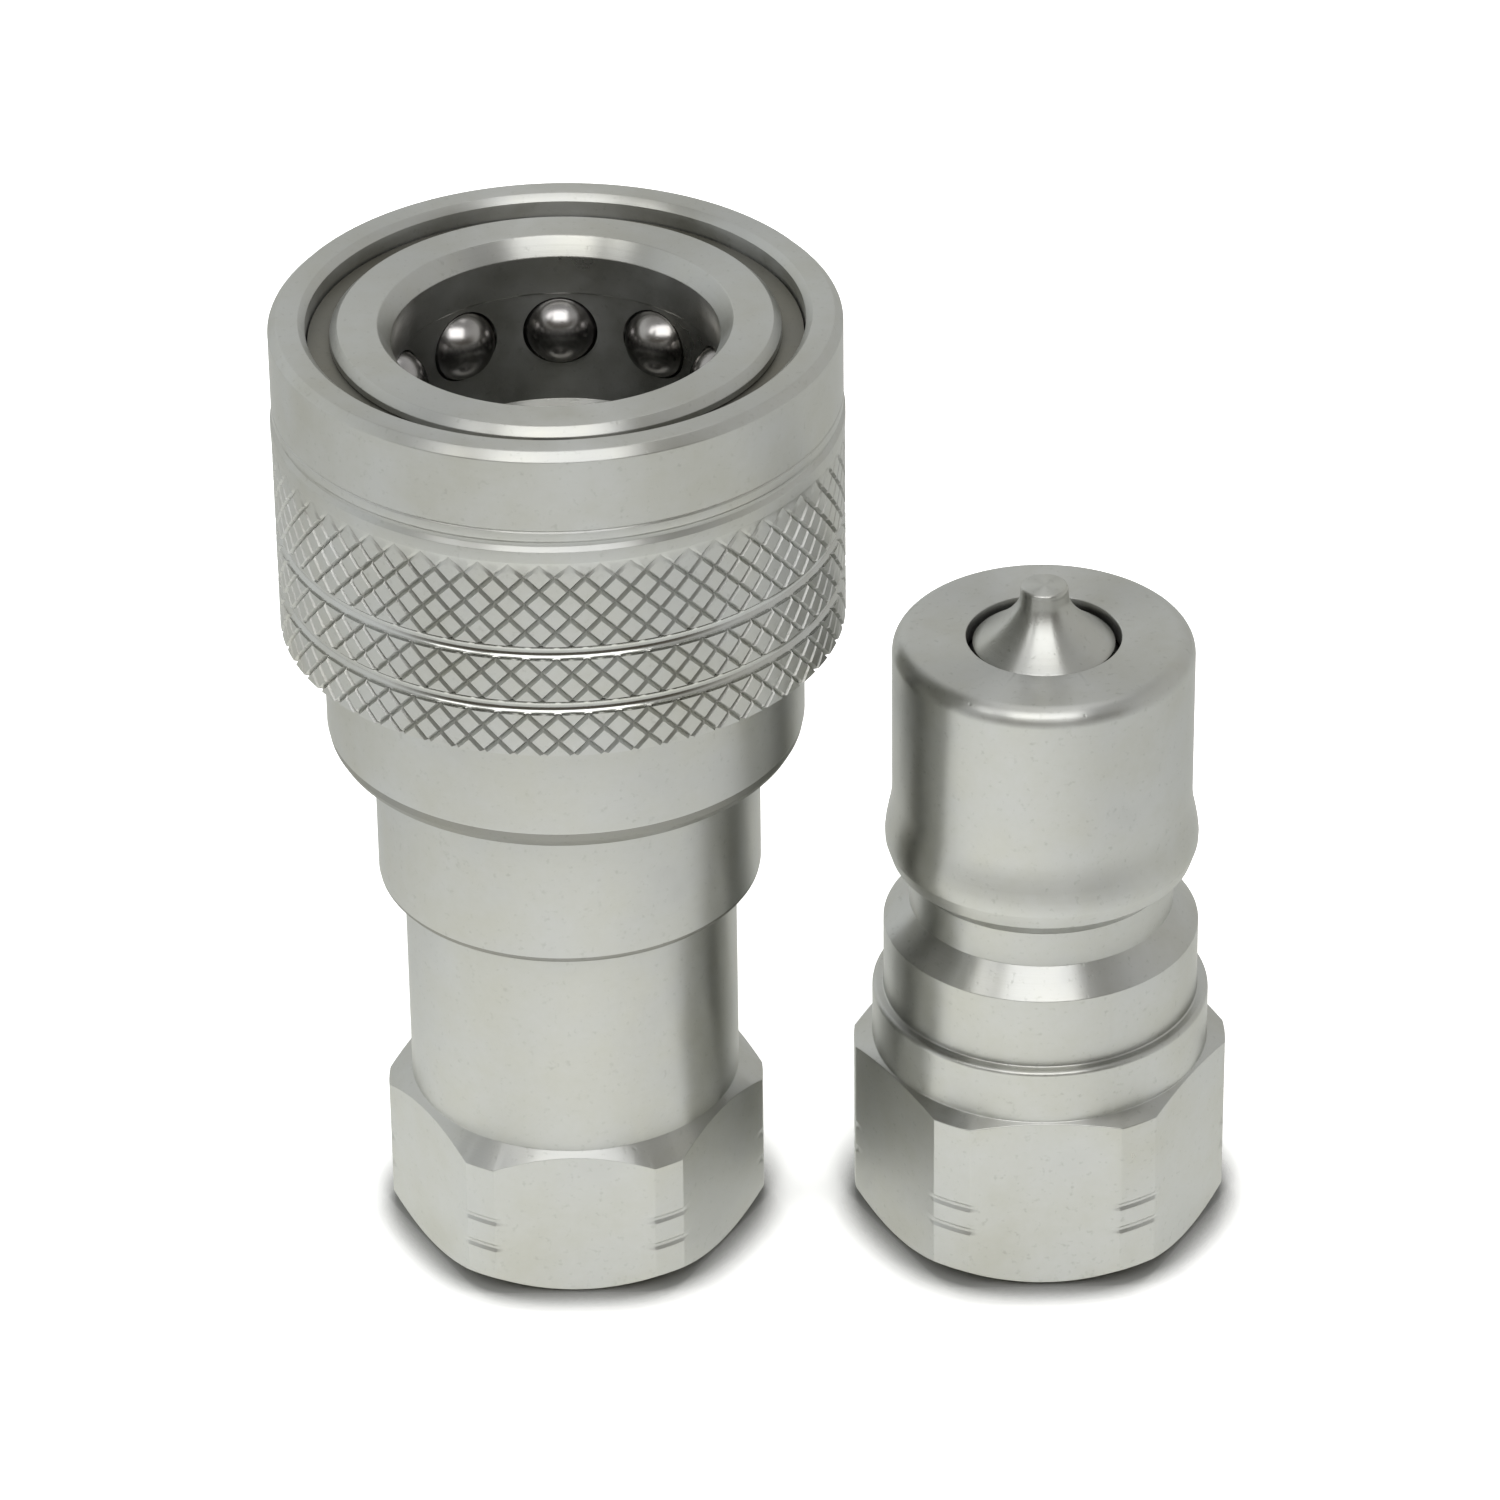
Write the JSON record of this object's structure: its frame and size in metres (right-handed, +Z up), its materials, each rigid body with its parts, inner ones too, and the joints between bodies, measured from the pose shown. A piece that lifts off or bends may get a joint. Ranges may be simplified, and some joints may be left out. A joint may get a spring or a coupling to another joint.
{
  "type": "quick coupling",
  "caption": "Quick coupling pair: a socket half with ball lock and knurled release sleeve, and its plug half, each with a spring-loaded valve, a hex and a pipe port.",
  "frame": {"origin": "on the standing plane, under the middle of the pair's outline", "axes": "+Z up along both halves' axes, towards the mouth and the nose; +X from the socket half to the plug half; -Y is the front, which a flat of each hex faces"},
  "size_m": [0.0598, 0.0354, 0.0658],
  "materials": {
    "zinc_body": "turned steel with pale zinc plating",
    "zinc_sleeve": "knurled steel with pale zinc plating",
    "zinc_valve": "turned steel with pale zinc plating",
    "ball_steel": "polished hardened steel",
    "spring_steel": "drawn spring wire and flat spring steel",
    "stamped_steel": "stamped steel",
    "nitrile": "black nitrile rubber",
    "ptfe": "white filled plastic"
  },
  "bodies": {
    "coupling": {"coupler_body": "zinc_body", "adapter": "zinc_body", "sleeve_snap_ring": "spring_steel", "bore_seal": "nitrile", "backup_ring": "ptfe", "joint_seal": "nitrile", "socket_valve_spring": "spring_steel", "socket_valve_guide": "stamped_steel", "plug_body": "zinc_body", "plug_valve_spring": "spring_steel", "plug_valve_guide": "stamped_steel", "plug_snap_ring": "spring_steel"},
    "spring_turn": {"sleeve_spring": "spring_steel"},
    "sleeve": {"sleeve": "zinc_sleeve"},
    "socket_valve": {"socket_valve": "zinc_valve", "socket_valve_seal": "nitrile"},
    "plug_valve": {"plug_valve": "zinc_valve", "plug_valve_seal": "nitrile"},
    "ball_1_body": {"ball_1": "ball_steel"},
    "ball_2_body": {"ball_2": "ball_steel"},
    "ball_3_body": {"ball_3": "ball_steel"},
    "ball_4_body": {"ball_4": "ball_steel"},
    "ball_5_body": {"ball_5": "ball_steel"},
    "ball_6_body": {"ball_6": "ball_steel"},
    "ball_7_body": {"ball_7": "ball_steel"},
    "ball_8_body": {"ball_8": "ball_steel"},
    "ball_9_body": {"ball_9": "ball_steel"},
    "ball_10_body": {"ball_10": "ball_steel"}
  },
  "joints": [
    {"name": "sleeve_spin", "type": "hinge", "parent": "coupling", "child": "spring_turn", "pos_m": [-0.0122, 0, 0.05], "axis": [0, 0, 1], "continuous": true},
    {"name": "sleeve_slide", "type": "slide", "parent": "spring_turn", "child": "sleeve", "axis": [0, 0, -1], "range_m": [0, 0.006], "stiffness_N_per_m": 2500, "springref_m": -0.006, "deforming": ["sleeve_spring"]},
    {"name": "socket_valve_slide", "type": "slide", "parent": "coupling", "child": "socket_valve", "axis": [0, 0, -1], "range_m": [0, 0.0042], "stiffness_N_per_m": 2000, "springref_m": -0.004, "deforming": ["socket_valve_spring"]},
    {"name": "plug_valve_slide", "type": "slide", "parent": "coupling", "child": "plug_valve", "axis": [0, 0, -1], "range_m": [0, 0.0042], "stiffness_N_per_m": 2000, "springref_m": -0.004, "deforming": ["plug_valve_spring"]},
    {"name": "ball_1_slide", "type": "slide", "parent": "coupling", "child": "ball_1_body", "axis": [0, 1, 0], "range_m": [0, 0.0016]},
    {"name": "ball_2_slide", "type": "slide", "parent": "coupling", "child": "ball_2_body", "axis": [-0.5878, 0.809, 0], "range_m": [0, 0.0016]},
    {"name": "ball_3_slide", "type": "slide", "parent": "coupling", "child": "ball_3_body", "axis": [-0.9511, 0.309, 0], "range_m": [0, 0.0016]},
    {"name": "ball_4_slide", "type": "slide", "parent": "coupling", "child": "ball_4_body", "axis": [-0.9511, -0.309, 0], "range_m": [0, 0.0016]},
    {"name": "ball_5_slide", "type": "slide", "parent": "coupling", "child": "ball_5_body", "axis": [-0.5878, -0.809, 0], "range_m": [0, 0.0016]},
    {"name": "ball_6_slide", "type": "slide", "parent": "coupling", "child": "ball_6_body", "axis": [0, -1, 0], "range_m": [0, 0.0016]},
    {"name": "ball_7_slide", "type": "slide", "parent": "coupling", "child": "ball_7_body", "axis": [0.5878, -0.809, 0], "range_m": [0, 0.0016]},
    {"name": "ball_8_slide", "type": "slide", "parent": "coupling", "child": "ball_8_body", "axis": [0.9511, -0.309, 0], "range_m": [0, 0.0016]},
    {"name": "ball_9_slide", "type": "slide", "parent": "coupling", "child": "ball_9_body", "axis": [0.9511, 0.309, 0], "range_m": [0, 0.0016]},
    {"name": "ball_10_slide", "type": "slide", "parent": "coupling", "child": "ball_10_body", "axis": [0.5878, 0.809, 0], "range_m": [0, 0.0016]}
  ],
  "couplings": [
    {"joint": "ball_1_slide", "follows": "sleeve_slide", "ratio": 0.26333},
    {"joint": "ball_2_slide", "follows": "sleeve_slide", "ratio": 0.26333},
    {"joint": "ball_3_slide", "follows": "sleeve_slide", "ratio": 0.26333},
    {"joint": "ball_4_slide", "follows": "sleeve_slide", "ratio": 0.26333},
    {"joint": "ball_5_slide", "follows": "sleeve_slide", "ratio": 0.26333},
    {"joint": "ball_6_slide", "follows": "sleeve_slide", "ratio": 0.26333},
    {"joint": "ball_7_slide", "follows": "sleeve_slide", "ratio": 0.26333},
    {"joint": "ball_8_slide", "follows": "sleeve_slide", "ratio": 0.26333},
    {"joint": "ball_9_slide", "follows": "sleeve_slide", "ratio": 0.26333},
    {"joint": "ball_10_slide", "follows": "sleeve_slide", "ratio": 0.26333}
  ]
}
